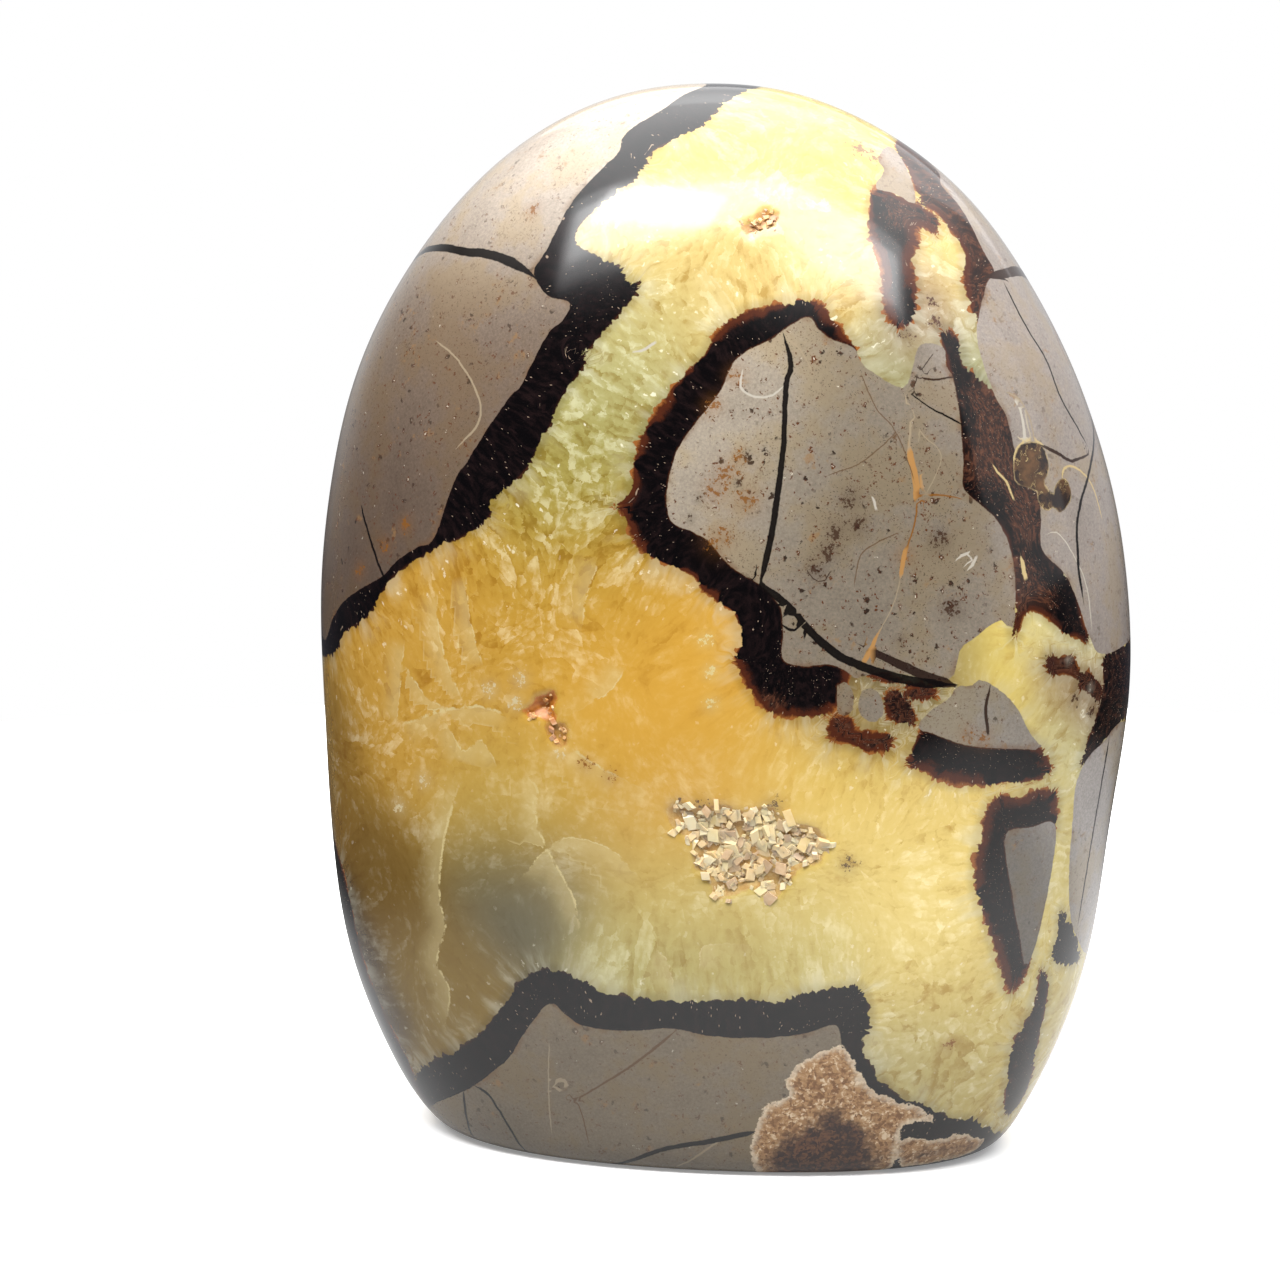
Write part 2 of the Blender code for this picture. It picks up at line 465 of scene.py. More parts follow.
# Outlines of the stone blocks
STONE_AREAS = (
    curve(
        front(706,85, 680,97, 661,111, 639,124, 623,138, 618,154, 583,189, 567,210, 546,250, 533,272,
              548,296, 570,302, 562,320, 548,333, 522,384, 508,400, 468,461, 455,480, 434,538, 417,547,
              398,560, 382,577, 364,587, 345,601, 334,617, 326,638),
        around(-93,5, -105,9, -120,13, -134,24, -149,32, -160,43, -164,52.5, -170,66.7, -177,81, -135,87)),
    curve(front(806,317, 770,340, 751,349, 734,362, 718,395, 676,454, 668,515, 693,532, 709,542, 730,566,
                760,585, 780,607, 783,630, 783,659, 803,666, 829,664, 848,672, 856,678, 880,672, 905,674,
                930,679, 952,677, 960,650, 975,638, 999,620, 1013,628, 1014,560, 997,520, 965,491, 963,474,
                962,449, 954,384, 946,366, 943,347, 920,345, 912,370, 905,387, 893,385, 864,366, 853,348,
                832,340, 819,330)),
    curve(
        front(937,172, 941,186, 960,208, 982,246, 996,270, 988,284, 977,335, 992,392, 1003,412, 1010,433,
              1016,455, 1040,500, 1043,548, 1063,571, 1072,586, 1091,640, 1104,654, 1126,644),
        around(86,4, 102,5, 119,10, 135,18, 146,30, 148,44, 137,57, 119,66, 97,70, 83,70)),
    curve(front(885,148, 896,152, 916,201, 895,193, 876,187, 884,170, 878,160)),
    curve(front(918,727, 930,710, 950,697, 955,686, 970,686, 982,680, 1011,701, 1031,735, 1043,748,
                1020,749, 967,745, 935,734)),
    curve(
        front(1076,782, 1087,758, 1102,742, 1120,722),
        around(85,-10, 100,-11, 112,-14, 117,-24, 104,-32, 88,-36),
        front(1086,952, 1078,940, 1071,915, 1070,870, 1073,820)),
    curve(front(1006,835, 1030,828, 1056,827, 1047,900, 1027,966, 1019,930, 1011,884)),
    curve(front(838,684, 848,684, 854,696, 849,714, 838,712)),
    curve(front(861,692, 872,688, 881,697, 883,714, 872,722, 859,712)),
    curve(
        front(431,1107, 484,1079, 508,1059, 525,1032, 549,1004, 566,1015, 584,1026, 628,1031, 672,1029,
              716,1037, 785,1036, 815,1030, 837,1026, 845,1060, 870,1100, 880,1140, 880,1170),
        around(30,-76, 90,-72, 150,-72, -165,-69, -130,-64, -102,-62)),
    curve(around(-92,-36, -91,-46, -98,-50, -112,-49, -124,-43, -129,-35, -121,-30, -104,-28, -95,-30)),
    curve(around(175,15.5, -165,9.5, -153,1, -147,-9, -151,-21, -161,-32, -177,-37.5, 164,-39, 149,-32,
                 139,-20, 139,-5, 149,4, 161,10)),
)

# Grainy crystal crust at the foot
CRUST_AREAS = (
    curve(
        front(838,1045, 850,1054, 864,1082, 878,1094, 898,1102, 918,1108, 934,1120, 912,1122, 900,1134,
              880,1171),
        around(20,-72, 10,-73),
        front(757,1174, 752,1160, 751,1145, 757,1125, 768,1106, 788,1096, 786,1080, 800,1062, 818,1052)),
    curve(front(896,1146, 914,1138, 936,1140, 962,1134, 984,1140, 972,1152, 945,1160, 905,1166)),
)

# Fossil buds
BUD_AREAS = (
    curve(front(1014,458, 1018,447, 1028,442, 1039,444, 1046,454, 1049,470, 1044,482, 1050,488, 1040,492,
                1030,488, 1018,484, 1014,474)),
    curve(front(1055,488, 1059,480, 1065,478, 1070,485, 1072,497, 1067,508, 1059,512, 1054,502)),
    curve(front(1040,490, 1046,488, 1052,493, 1055,504, 1049,511, 1042,507, 1038,498)),
)

# Browner places within the dark areas: radius, middles
BROWN_PLACES = (
    (1.6, front(1024,500, 1027,525, 1020,575, 1017,600)),
    (1.7, front(984,398, 992,420, 990,445, 980,465, 1002,470)),
    (1.5, front(1040,600, 905,215, 770,706)),
)

BLACK = (14, 10, 9)
BROWN = (58, 38, 30)
UMBER = (112, 84, 60)
RUST = (150, 96, 40)
AMBER = (200, 148, 86)
TAN = (178, 160, 132)
PALE = (214, 206, 190)
GOLD = (226, 200, 142)
CREAM = (240, 220, 160)

# Cracks: colour, width at start and end, line
CRACKS = (
    (BLACK, 0.8, 1.4, around(-110,48, -92,52), front(456,250, 484,253, 511,262, 534,277)),
    (BLACK, 0.3, 0.4, front(360,505, 372,545, 384,577)),
    (BLACK, 0.6, 0.9, front(783,333, 791,366, 786,385, 783,450, 777,499, 770,542, 760,583)),
    (BLACK, 0.9, 1.3, front(750,578, 776,596, 793,611, 809,630, 835,653, 861,666, 895,677, 925,683,
                            948,684)),
    (BLACK, 0.1, 0.3, front(908,392, 930,408, 959,423)),
    (BROWN, 0.1, 0.1, front(913,391, 918,375, 930,358)),
    (BROWN, 0.3, 0.2, front(922,378, 934,380, 948,378)),
    (UMBER, 0.1, 0.1, front(860,372, 876,408, 896,432, 914,480)),
    (UMBER, 0.1, 0.1, front(895,434, 862,462, 832,474)),
    (UMBER, 0.1, 0.1, front(900,532, 878,542, 860,556, 855,582)),
    (BROWN, 0.1, 0.1, front(806,568, 812,578, 822,582, 828,576)),
    (BLACK, 0.4, 0.3, front(784,616, 790,613, 798,618, 799,626, 792,631, 785,627)),
    (BROWN, 1.2, 2.2, front(985,277, 1003,273, 1012,271, 1022,271), around(86,50, 98,46)),
    (BLACK, 0.3, 0.3, front(1005,280, 1026,325, 1045,360, 1060,400, 1085,443)),
    (BLACK, 0.5, 0.4, front(1093,405, 1082,499, 1079,560, 1084,600)),
    (BROWN, 0.5, 0.3, front(1040,445, 1060,455, 1072,461, 1087,455)),
    (BLACK, 0.4, 0.3, front(1108,738, 1101,783, 1091,850, 1079,920)),
    (BLACK, 0.4, 0.3, front(463,1092, 467,1120, 478,1140, 495,1150)),
    (BLACK, 0.4, 0.3, front(474,1086, 490,1098, 512,1133, 532,1157)),
    (BLACK, 0.5, 0.9, front(605,1164, 657,1151, 715,1140, 754,1132)),
    (BLACK, 0.9, 0.6, around(177,17, 172,2, 178,-16, 171,-40)),
    (BLACK, 0.6, 0.4, around(178,-16, -166,-22, -150,-20)),
    (BLACK, 1.2, 0.6, around(-110,48, -128,50, -142,60, -158,64)),
    (BLACK, 0.6, 0.3, around(-98,50, -102,32, -112,20, -114,10)),
    (BLACK, 2.0, 0.7, around(98,46, 112,40, 128,38, 150,34)),
    (BLACK, 0.6, 0.4, around(112,40, 106,24, 112,6)),
)

# Rusty, tan and golden lines in the stone
SEAMS = (
    ((44, 26, 20), 0.8, 1.5, front(862,646, 890,660, 930,678, 950,684)),
    (BROWN, 0.4, 0.5, front(989,688, 986,700, 985,712, 987,728)),
    (TAN, 0.2, 0.3, front(905,396, 910,424, 908,449)),
    (AMBER, 0.8, 0.9, front(908,446, 912,464, 916,482, 917,500)),
    (RUST, 0.2, 0.2, front(917,500, 916,516, 912,534, 906,550)),
    (AMBER, 0.7, 0.4, front(906,548, 903,562, 901,578)),
    (TAN, 0.1, 0.1, front(901,578, 893,606, 878,634)),
    (AMBER, 0.3, 0.7, front(878,632, 873,645, 867,656)),
    (RUST, 0.3, 0.1, front(918,496, 940,495, 957,498)),
    (TAN, 0.1, 0.1, front(911,406, 921,433, 941,456, 926,494)),
    (TAN, 0.2, 0.3, front(435,340, 456,358, 472,382, 481,405, 478,425, 460,445)),
    (TAN, 0.3, 0.2, front(720,1140, 700,1154, 680,1165)),
    (RUST, 0.4, 0.3, front(1053,325, 1059,343, 1066,360)),
    (TAN, 0.2, 0.2, front(1004,392, 1018,400, 1028,418, 1034,442)),
    (GOLD, 0.3, 0.2, front(1063,480, 1063,470, 1071,466, 1084,474, 1094,490, 1101,514)),
    (GOLD, 0.3, 0.3, front(1013,462, 1017,448, 1026,441, 1036,441, 1044,447)),
    (GOLD, 0.2, 0.3, front(992,464, 999,474, 1006,481, 1012,494)),
    (GOLD, 0.5, 0.6, front(1022,558, 1025,572)),
    (PALE, 0.2, 0.5, front(1010,396, 1018,408, 1022,424, 1024,440)),
    (PALE, 0.1, 0.2, front(1046,535, 1060,534, 1080,566, 1088,590, 1092,625)),
    (TAN, 0.2, 0.1, front(785,337, 800,350, 812,371)),
    (PALE, 0.3, 0.2, front(742,372, 741,388, 754,397, 772,396, 784,386)),
    (TAN, 0.1, 0.2, front(549,1042, 548,1090, 551,1130)),
    (TAN, 0.5, 0.5, front(554,1086, 558,1080, 564,1081, 566,1087, 561,1092, 554,1088)),
    (UMBER, 0.2, 0.4, front(568,1104, 600,1086, 640,1060, 672,1034)),
    (UMBER, 0.2, 0.1, front(566,1092, 580,1110, 588,1140)),
    (PALE, 0.4, 0.3, front(957,560, 961,556, 966,554)),
    (PALE, 0.4, 0.3, front(970,569, 973,566, 975,562)),
    (PALE, 0.3, 0.3, front(872,497, 874,500, 875,504)),
    (PALE, 0.3, 0.4, front(636,352, 644,350, 650,346)),
    (TAN, 0.3, 0.3, around(-100,40, -112,36, -126,30)),
    (RUST, 0.7, 0.4, around(170,8, 158,-4, 148,-18)),
    (TAN, 0.4, 0.3, around(-172,-6, -158,-10, -152,-22)),
    (RUST, 0.7, 0.4, around(118,60, 124,46, 138,34)),
)

# Pale edges of big crystals in the calcite. Each veil lies on the right of its line.
VEINS = (
    (CREAM, 0.3, 0.2, front(462,770, 443,839, 440,897, 446,927, 437,962, 449,991, 443,1035)),
    (CREAM, 0.3, 0.2, front(519,772, 537,790, 538,828, 572,897, 578,932)),
    (CREAM, 0.3, 0.3, front(398,727, 444,711, 484,708, 511,719)),
    (CREAM, 0.3, 0.2, front(572,748, 589,761, 618,777)),
    (CREAM, 0.1, 0.2, front(437,590, 440,640, 462,700)),
    (CREAM, 0.1, 0.1, front(465,575, 470,620, 482,665)),
    (CREAM, 0.1, 0.2, front(404,665, 425,695, 446,708)),
    (CREAM, 0.1, 0.1, front(404,640, 400,690, 396,724)),
    (CREAM, 0.1, 0.1, front(598,560, 585,600, 582,622)),
    (CREAM, 0.1, 0.1, front(625,668, 610,690, 592,702)),
    (CREAM, 0.1, 0.1, front(520,880, 560,840, 610,850, 640,880)),
    (CREAM, 0.2, 0.2, front(700,265, 722,290, 738,318)),
    (CREAM, 0.1, 0.1, front(445,715, 462,752, 480,740, 497,768)),
    (CREAM, 0.1, 0.1, front(655,950, 668,962, 672,985)),
    (CREAM, 0.1, 0.1, front(700,970, 702,948, 716,945)),
    (CREAM, 0.3, 0.3, around(-150,-45, -165,-52, 175,-53, 150,-50)),
    (CREAM, 0.4, 0.3, around(165,60, 172,46, 165,32)),
    (CREAM, 0.3, 0.2, around(-95,-4, -112,-10, -130,-6)),
)

# Crystal hollows: depth, floor colour and outline
VUG_AREAS = (
    (0.8, (226, 192, 128),
     curve(front(666,812, 678,802, 700,808, 721,803, 745,812, 770,806, 790,822, 812,826, 829,843, 820,862,
                 798,870, 788,886, 772,898, 752,888, 734,896, 716,900, 708,880, 694,868, 692,846,
                 676,830))),
    (1.7, (224, 138, 46),
     curve(front(520,712, 530,706, 534,697, 545,694, 552,689, 556,700, 553,710, 558,716, 549,722, 541,716,
                 530,718))),
    (0.9, (216, 166, 84), curve(front(546,724, 556,722, 568,726, 566,736, 570,744, 558,747, 550,738))),
    (0.6, (222, 160, 72),
     curve(front(740,220, 746,225, 755,219, 758,212, 768,209, 774,213, 779,212, 778,222, 770,227, 764,224,
                 756,232, 745,233))),
)

# Soft patches of calcite: display colour, how busy the crystals look, radius, middles
CALCITE_TINTS = (
    ((226, 196, 112), 0.35, 9, front(760,130, 700,200, 820,170)),
    ((222, 196, 130), 0.7, 8, front(740,270, 800,270, 690,290)),
    ((178, 174, 122), 0.75, 7, front(630,350, 600,400, 650,340)),
    ((164, 154, 80), 1.1, 7, front(570,450, 540,500, 590,500)),
    ((194, 152, 60), 0.8, 8, front(500,580, 560,600, 620,600)),
    ((224, 172, 72), 0.15, 10, front(640,660, 690,700, 600,720, 720,760)),
    ((206, 160, 70), 0.6, 8, front(430,660, 400,720, 440,620)),
    # These three are darker partly because the calcite is browner there and partly as painted shade towards
    # the left edge
    ((128, 94, 40), 0.4, 5, front(340,740, 335,820)),
    ((118, 92, 46), 0.3, 6, front(370,850, 400,900)),
    ((60, 44, 34), 0.3, 3, front(350,900, 372,955, 392,1010)),
    ((150, 112, 98), 0.8, 2.5, front(1062,686, 1076,696, 1088,708, 1046,672)),
    ((160, 128, 112), 0.8, 2.5, front(908,338, 926,322, 932,300, 938,324, 926,284)),
    ((196, 166, 86), 0.35, 8, front(500,800, 560,800)),
    ((82, 86, 80), 0.2, 6, front(540,900, 500,880)),
    ((142, 116, 52), 0.3, 6, front(450,960, 430,1010)),
    ((208, 186, 112), 0.4, 8, front(660,910, 740,930, 800,920)),
    ((182, 176, 116), 0.6, 5, front(630,965, 700,970, 770,975, 830,965)),
    ((252, 226, 142), 0.5, 10, front(880,820, 900,900, 900,960)),
    ((222, 200, 124), 0.7, 8, front(940,1020, 930,1070)),
    ((188, 180, 136), 0.9, 6, front(890,1060, 900,1080)),
    ((240, 202, 102), 0.5, 8, front(900,790, 820,760)),
    ((240, 214, 116), 0.1, 4, front(1000,655, 1015,690)),
    ((220, 210, 158), 0.6, 4, front(1045,640, 1060,700, 1065,740)),
    ((152, 138, 94), 0.2, 3, front(965,655)),
    ((226, 200, 128), 0.5, 4, front(945,260, 950,290)),
    ((176, 166, 140), 0.4, 4, front(932,305, 905,335)),
    ((158, 158, 122), 0.6, 4, front(890,360, 930,350, 965,350)),
    ((112, 104, 86), 0.7, 5, front(840,690, 856,700, 872,706, 892,710, 930,705)),
    ((218, 200, 128), 0.6, 6, front(1055,850, 1045,940, 1065,1000)),
    ((214, 180, 84), 0.8, 14, around(120,-45, 180,-52, -150,-50, 130,-10)),
    ((206, 190, 100), 1.0, 14, around(160,45, 170,30, 120,78)),
    ((196, 156, 68), 0.8, 12, around(-100,-12, -125,-8, -150,14)),
)

# Soft patches of stone: display colour, how specked it is, radius, middles
STONE_TINTS = (
    # Painted light: this first patch makes the top-left block paler where the bright light falls on it
    ((212, 197, 180), 0.5, 9, front(600,130, 560,170, 500,200)),
    # Painted shade: these two patches darken the left side of the top-left block, as if in shadow
    ((130, 112, 97), 0.8, 14, front(470,330, 430,460)),
    ((102, 84, 72), 0.8, 8, front(390,500, 370,560)),
    ((204, 190, 170), 1.0, 7, front(730,420, 720,500)),
    ((147, 135, 119), 1.1, 12, front(850,560, 840,500, 900,620)),
    ((172, 165, 155), 0.6, 5, front(960,720)),
    ((122, 115, 106), 0.4, 5, front(1035,880, 1030,930)),
    ((138, 124, 104), 0.5, 12, front(620,1090)),
    ((176, 164, 155), 0.35, 10, front(990,230, 1060,420, 1100,600)),
    ((200, 192, 186), 0.3, 6, front(1095,860, 1100,800)),
    ((150, 136, 116), 0.8, 18, around(180,-10, -120,40, 120,30, 0,-85)),
    ((176, 162, 148), 0.3, 4, front(890,175)),
)

# Crowds of small spots in the stone and the calcite: colour, radius of the crowd, middles
STAINS = (
    (RUST, 1.5, front(716,490, 726,474, 746,501, 720,538)),
    (RUST, 1.0, front(737,376, 714,406, 405,525, 385,545, 360,570, 533,210, 740,458)),
    (RUST, 1.0, front(985,738, 967,734, 905,556)),
    ((70, 46, 34), 1.3, front(850,500, 857,526, 838,530, 816,570, 828,552, 952,608, 940,540)),
    ((70, 46, 34), 0.6, front(560,1086, 738,482, 747,455, 900,640, 700,500, 690,520)),
    ((236, 226, 204), 0.4, front(1068,660, 1090,688)),
    ((70, 40, 34), 0.9, front(1050,662, 1074,700, 1090,712)),
    ((150, 110, 84), 1.4, front(860,150, 874,156)),
    ((104, 78, 60), 1.1, front(680,808, 700,806, 773,806, 848,866)),
    ((90, 56, 48), 1.0, front(906,336, 932,300, 936,322)),
    ((150, 84, 34), 0.9, front(948,1045, 586,764, 611,777)),
    ((232, 214, 170), 1.0, front(490,690, 515,702, 560,752, 520,680, 398,806, 423,780)),
    ((240, 222, 160), 0.9, front(706,640, 711,672, 712,704, 975,1066, 722,896)),
)

VUG_TONES = (
    (242, 210, 152), (236, 200, 140), (248, 228, 182), (228, 192, 138), (192, 154, 114), (240, 216, 160),
)
BLADE_TONES = ((240, 216, 152), (246, 224, 170), (232, 200, 132))
AMBER_TONES = ((226, 150, 66), (196, 116, 44), (232, 176, 96))
CRYSTAL_GAIN = 1.3     # they shade one another
BLOCK_FACES = np.array(
    ((0, 1, 3, 2), (4, 6, 7, 5), (0, 4, 5, 1), (2, 3, 7, 6), (0, 2, 6, 4), (1, 5, 7, 3)))

# Crystals: name, which hollow, how many, smallest and largest, display colours
CRYSTALS = (
    ("vug_crystals", 0, 560, (0.4, 1.6), VUG_TONES),
    ("vug_blades", 0, 11, (1.8, 2.8), BLADE_TONES),
    ("side_vug_crystals", 1, 26, (0.3, 0.8), AMBER_TONES),
    ("low_vug_crystals", 2, 20, (0.3, 0.8), AMBER_TONES),
    ("top_vug_crystals", 3, 40, (0.3, 0.8), AMBER_TONES),
)

# Light panels: name, azimuth, elevation, distance, width, height, radiance, in metres
PANELS = (
    ("key_wide", -8, 55, 1.0, 1.35, 0.42, 2.8),
    ("key_middle", -8, 54, 0.98, 1.25, 0.26, 6.0),
    ("key_core", -34, 52, 0.96, 0.42, 0.18, 9.0),
    ("fill_right", 62, 22, 1.2, 0.9, 0.7, 0.8),
    ("back", 165, 42, 1.3, 1.5, 0.8, 1.1),
)
FLOOR_RADIUS = 0.40
FLOOR_SHEEN_MIDDLE = (0.06, -0.03, 0)
FLOOR_SHEEN_REACH = (0.26, 0.05)   # dim in reflections beyond the first distance, bright within the second
ROOM_FRONT = (0.05, 0.05, 0.06)
ROOM_BACK = (0.62, 0.63, 0.65)
ROOM_TOP = (4.6, 4.6, 4.6)


def is_vector(value):
    return isinstance(value, tuple) or isinstance(value, Value) and value.socket.type != "VALUE"


class Value:
    """What a node gives out. Sums, products and the like of values are new nodes."""

    def __init__(self, shader, socket):
        self.shader = shader
        self.socket = socket

    def __add__(self, other):
        return self.shader.math("ADD", self, other)

    def __sub__(self, other):
        return self.shader.math("SUBTRACT", self, other)

    def __rsub__(self, other):
        return self.shader.math("SUBTRACT", other, self)

    def __mul__(self, other):
        return self.shader.math("MULTIPLY", self, other)

    def __truediv__(self, other):
        return self.shader.math("DIVIDE", self, other)

    def __neg__(self):
        return self * -1.0

    def __abs__(self):
        return self.shader.math("ABSOLUTE", self)

    def output(self, name):
        """Another output of the node that gives this value."""
        return Value(self.shader, self.socket.node.outputs[name])

    def channel(self, name):
        return self.shader.node("SeparateColor", name, Color=self)


class Shader:
    """The nodes of a material or a world, with short calls that return values."""

    def __init__(self, owner):
        owner.use_nodes = True
        self.tree = owner.node_tree

    def node(self, kind, output=0, settings=None, **inputs):
        made = self.tree.nodes.new("ShaderNode" + kind)
        for key, value in (settings or {}).items():
            setattr(made, key, value)
        for key, value in inputs.items():
            self.set(made.inputs[key.replace("_", " ")], value)
        return Value(self, made.outputs[output])

    def set(self, socket, value):
        if isinstance(value, Value):
            self.tree.links.new(value.socket, socket)
        elif socket.type == "RGBA" and len(value) == 3:
            socket.default_value = (*value, 1)
        else:
            socket.default_value = value

    def math(self, operation, *values):
        """One operation on numbers, or on vectors part by part. A number times a vector scales it."""
        kinds = {is_vector(value) for value in values}
        if len(kinds) == 2:
            return self.node("VectorMath", 0, {"operation": "SCALE"}, Vector=values[0], Scale=values[1])
        made = self.tree.nodes.new("ShaderNodeVectorMath" if True in kinds else "ShaderNodeMath")
        made.operation = operation
        for socket, value in zip(made.inputs, values):
            self.set(socket, value)
        return Value(self, made.outputs[0])

    def dot(self, first, second):
        return self.math("DOT_PRODUCT", first, second).output("Value")

    def attribute(self, name, output="Fac"):
        return self.node("Attribute", output, {"attribute_name": name})

    def step(self, value, low, high):
        """0 below low and 1 above high, smooth between. High may be less than low."""
        return self.node("MapRange", 0, {"interpolation_type": "SMOOTHSTEP"},
                         Value=value, From_Min=low, From_Max=high)

    def mix(self, factor, first, second):
        """Colours blended: the first where the factor is 0, the second where it is 1."""
        made = self.tree.nodes.new("ShaderNodeMix")
        made.data_type = "RGBA"
        colour_inputs = [socket for socket in made.inputs if socket.type == "RGBA"]
        for socket, value in zip((made.inputs[0], *colour_inputs), (factor, first, second)):
            self.set(socket, value)
        return Value(self, next(socket for socket in made.outputs if socket.type == "RGBA"))

    def noise(self, vector, scale, detail=2, roughness=0.5, output="Fac", **fourth):
        """Noise, in four dimensions where W is given."""
        settings = {"noise_dimensions": "4D" if fourth else "3D"}
        return self.node("TexNoise", output, settings, Vector=vector, Scale=scale, Detail=detail,
                         Roughness=roughness, **fourth)

    def cells(self, vector, scale):
        """How far off the middle of the nearest of many random cells a point lies."""
        return self.node("TexVoronoi", "Distance", Vector=vector, Scale=scale)


def facets(s, vector, scale):
    """Angular crystal faces, each with a tone that shades off to one side. Also how far off its middle."""
    off_middle = s.cells(vector, scale)
    tone = off_middle.output("Color")
    lean = tone - (0.5, 0.5, 0.5)
    shade = s.dot(vector - off_middle.output("Position"), lean)
    return shade * (2.2 * scale) + tone.channel("Red"), off_middle


def calcite_colour(s, place, growth, wall, stir):
    """Cloudy yellow crystal: tinted patches, soft blades that grow out from the walls, and crisp flakes."""
    tint = s.attribute("calcite_tint", "Color")
    crisp = tint.output("Alpha")
    near_wall = s.step(wall, 12.0, 1.5)
    blades, _ = facets(s, growth * 0.8 + place * 0.2 + stir, 0.26)
    flakes, off_middle = facets(s, growth * 0.45 + place * 0.55 + stir * 1.4, 0.8)
    outwards = wall * 0.22
    soft_blades = s.noise(growth, 0.40, 3, 0.6, W=outwards)
    fibres = s.noise(growth + stir * 0.8, 1.5, 2, 0.6, W=outwards)
    crumple = s.noise(place + stir * 2.0, 0.62, 4, 0.62)
    clouds = s.noise(place, 0.07, 3, 0.55)

    value = ((blades - 0.5) * 0.34 + (flakes - 0.5) * 0.32) * crisp
    feather = near_wall * 0.55 + 0.25
    rough = crisp * 0.6 + 0.2
    for layer, amount in ((soft_blades, 0.75), (fibres, feather), (crumple, rough), (clouds, 0.7)):
        value = (layer - 0.5) * amount + value
    value = value * (crisp * 0.45 + 0.6)

    deep = tint * (0.82, 0.68, 0.42)
    plain = tint * (1.16, 1.14, 1.05)
    pale = s.mix(0.22, tint * (1.34, 1.38, 1.50), (0.85, 0.82, 0.64))
    colour = s.mix(s.step(value, -0.50, 0.0), deep, plain)
    colour = s.mix(s.step(value, -0.04, 0.42), colour, pale)
    smoky = s.step(wall, 1.5, 0.1) * 0.5
    colour = s.mix(smoky, colour, tint * (0.50, 0.48, 0.46))
    mist = s.step(wall, 4.5, 0.4) * s.step(soft_blades, 0.42, 0.66) * 0.6
    colour = s.mix(mist, colour, s.mix(0.5, tint, (0.52, 0.50, 0.38)))
    flecks = s.step((fibres - 0.5) * 0.5 + off_middle, 0.20, 0.10) * s.step(crumple, 0.50, 0.56)
    flecks = flecks * (near_wall * crisp * 0.6 + 0.08)
    return s.mix(flecks, colour, (0.88, 0.84, 0.66))


def veined(s, colour, bend):
    """Pale edges of big crystals: a thin line with a milky veil that fades away on one side."""
    tone = s.attribute("vein_colour", "Color")
    side = bend * 1.4 + s.attribute("vein_side")
    veil = s.step(side, -0.05, 0.05) * s.step(side, 4.2, 0.0) * 0.34
    line = s.step(abs(side) - s.attribute("vein_half"), 0.14, -0.05)
    broken = s.step(bend, -0.14, 0.06)
    strength = s.math("MAXIMUM", veil, line * broken * 0.8)
    strength = strength * tone.output("Alpha") * s.step(s.attribute("vein_near"), 5.5, 4.0)
    return s.mix(strength, colour, tone)


def dark_colour(s, place, depth, growth, from_stone, bend):
    """Near-black or brown crystal, red-brown to orange at its edges in places, with tiny pale glints."""
    rim = s.attribute("rim")
    brown = s.attribute("brown")
    patches = s.step(s.noise(growth, 0.16, 2, 0.6), 0.36, 0.58)
    combed = growth * 0.8 + place * 0.4
    mottle = s.noise(combed, 1.0, 4, 0.65)
    wavy = bend + (mottle - 0.5)
    fine = s.step(mottle, 0.42, 0.70)
    black = s.mix(fine, (0.0015, 0.001, 0.0012), (0.010, 0.005, 0.005))
    brownish = s.mix(fine, (0.022, 0.009, 0.006), (0.100, 0.036, 0.018))
    colour = s.mix(s.step(wavy * 0.9 + brown, 0.30, 1.00), black, brownish)

    fringed = s.step(rim, 0.0, 0.6)
    by_stone = wavy * 1.5 + (from_stone * 2.5 + 0.3)
    colour = s.mix(s.step(by_stone, 1.0, 0.4) * fringed * 0.6, colour, (0.060, 0.017, 0.006))
    inwards = wavy * 0.9 + depth / (rim * patches * 1.7 + 0.15)
    colour = s.mix(s.step(inwards, 1.25, 0.45) * fringed, colour, (0.062, 0.015, 0.006))
    colour = s.mix(s.step(inwards, 0.35, -0.12) * fringed, colour, (0.25, 0.085, 0.02))

    glint = s.cells(combed, 2.0)
    lucky = glint.output("Color").channel("Green") + (brown * 0.25 + bend * 1.2)
    glints = s.step(glint, 0.20, 0.11) * s.step(lucky, 0.70, 0.80)
    return s.mix(glints * 0.6, colour, (0.46, 0.34, 0.24))


def specks(s, place, scale, size, patches, density):
    """Small specks that crowd in some places: 1 on them and 0 off them."""
    shape = s.step(s.cells(place, scale), size, size * 0.7)
    return shape * s.step(patches, density, density + 0.08)


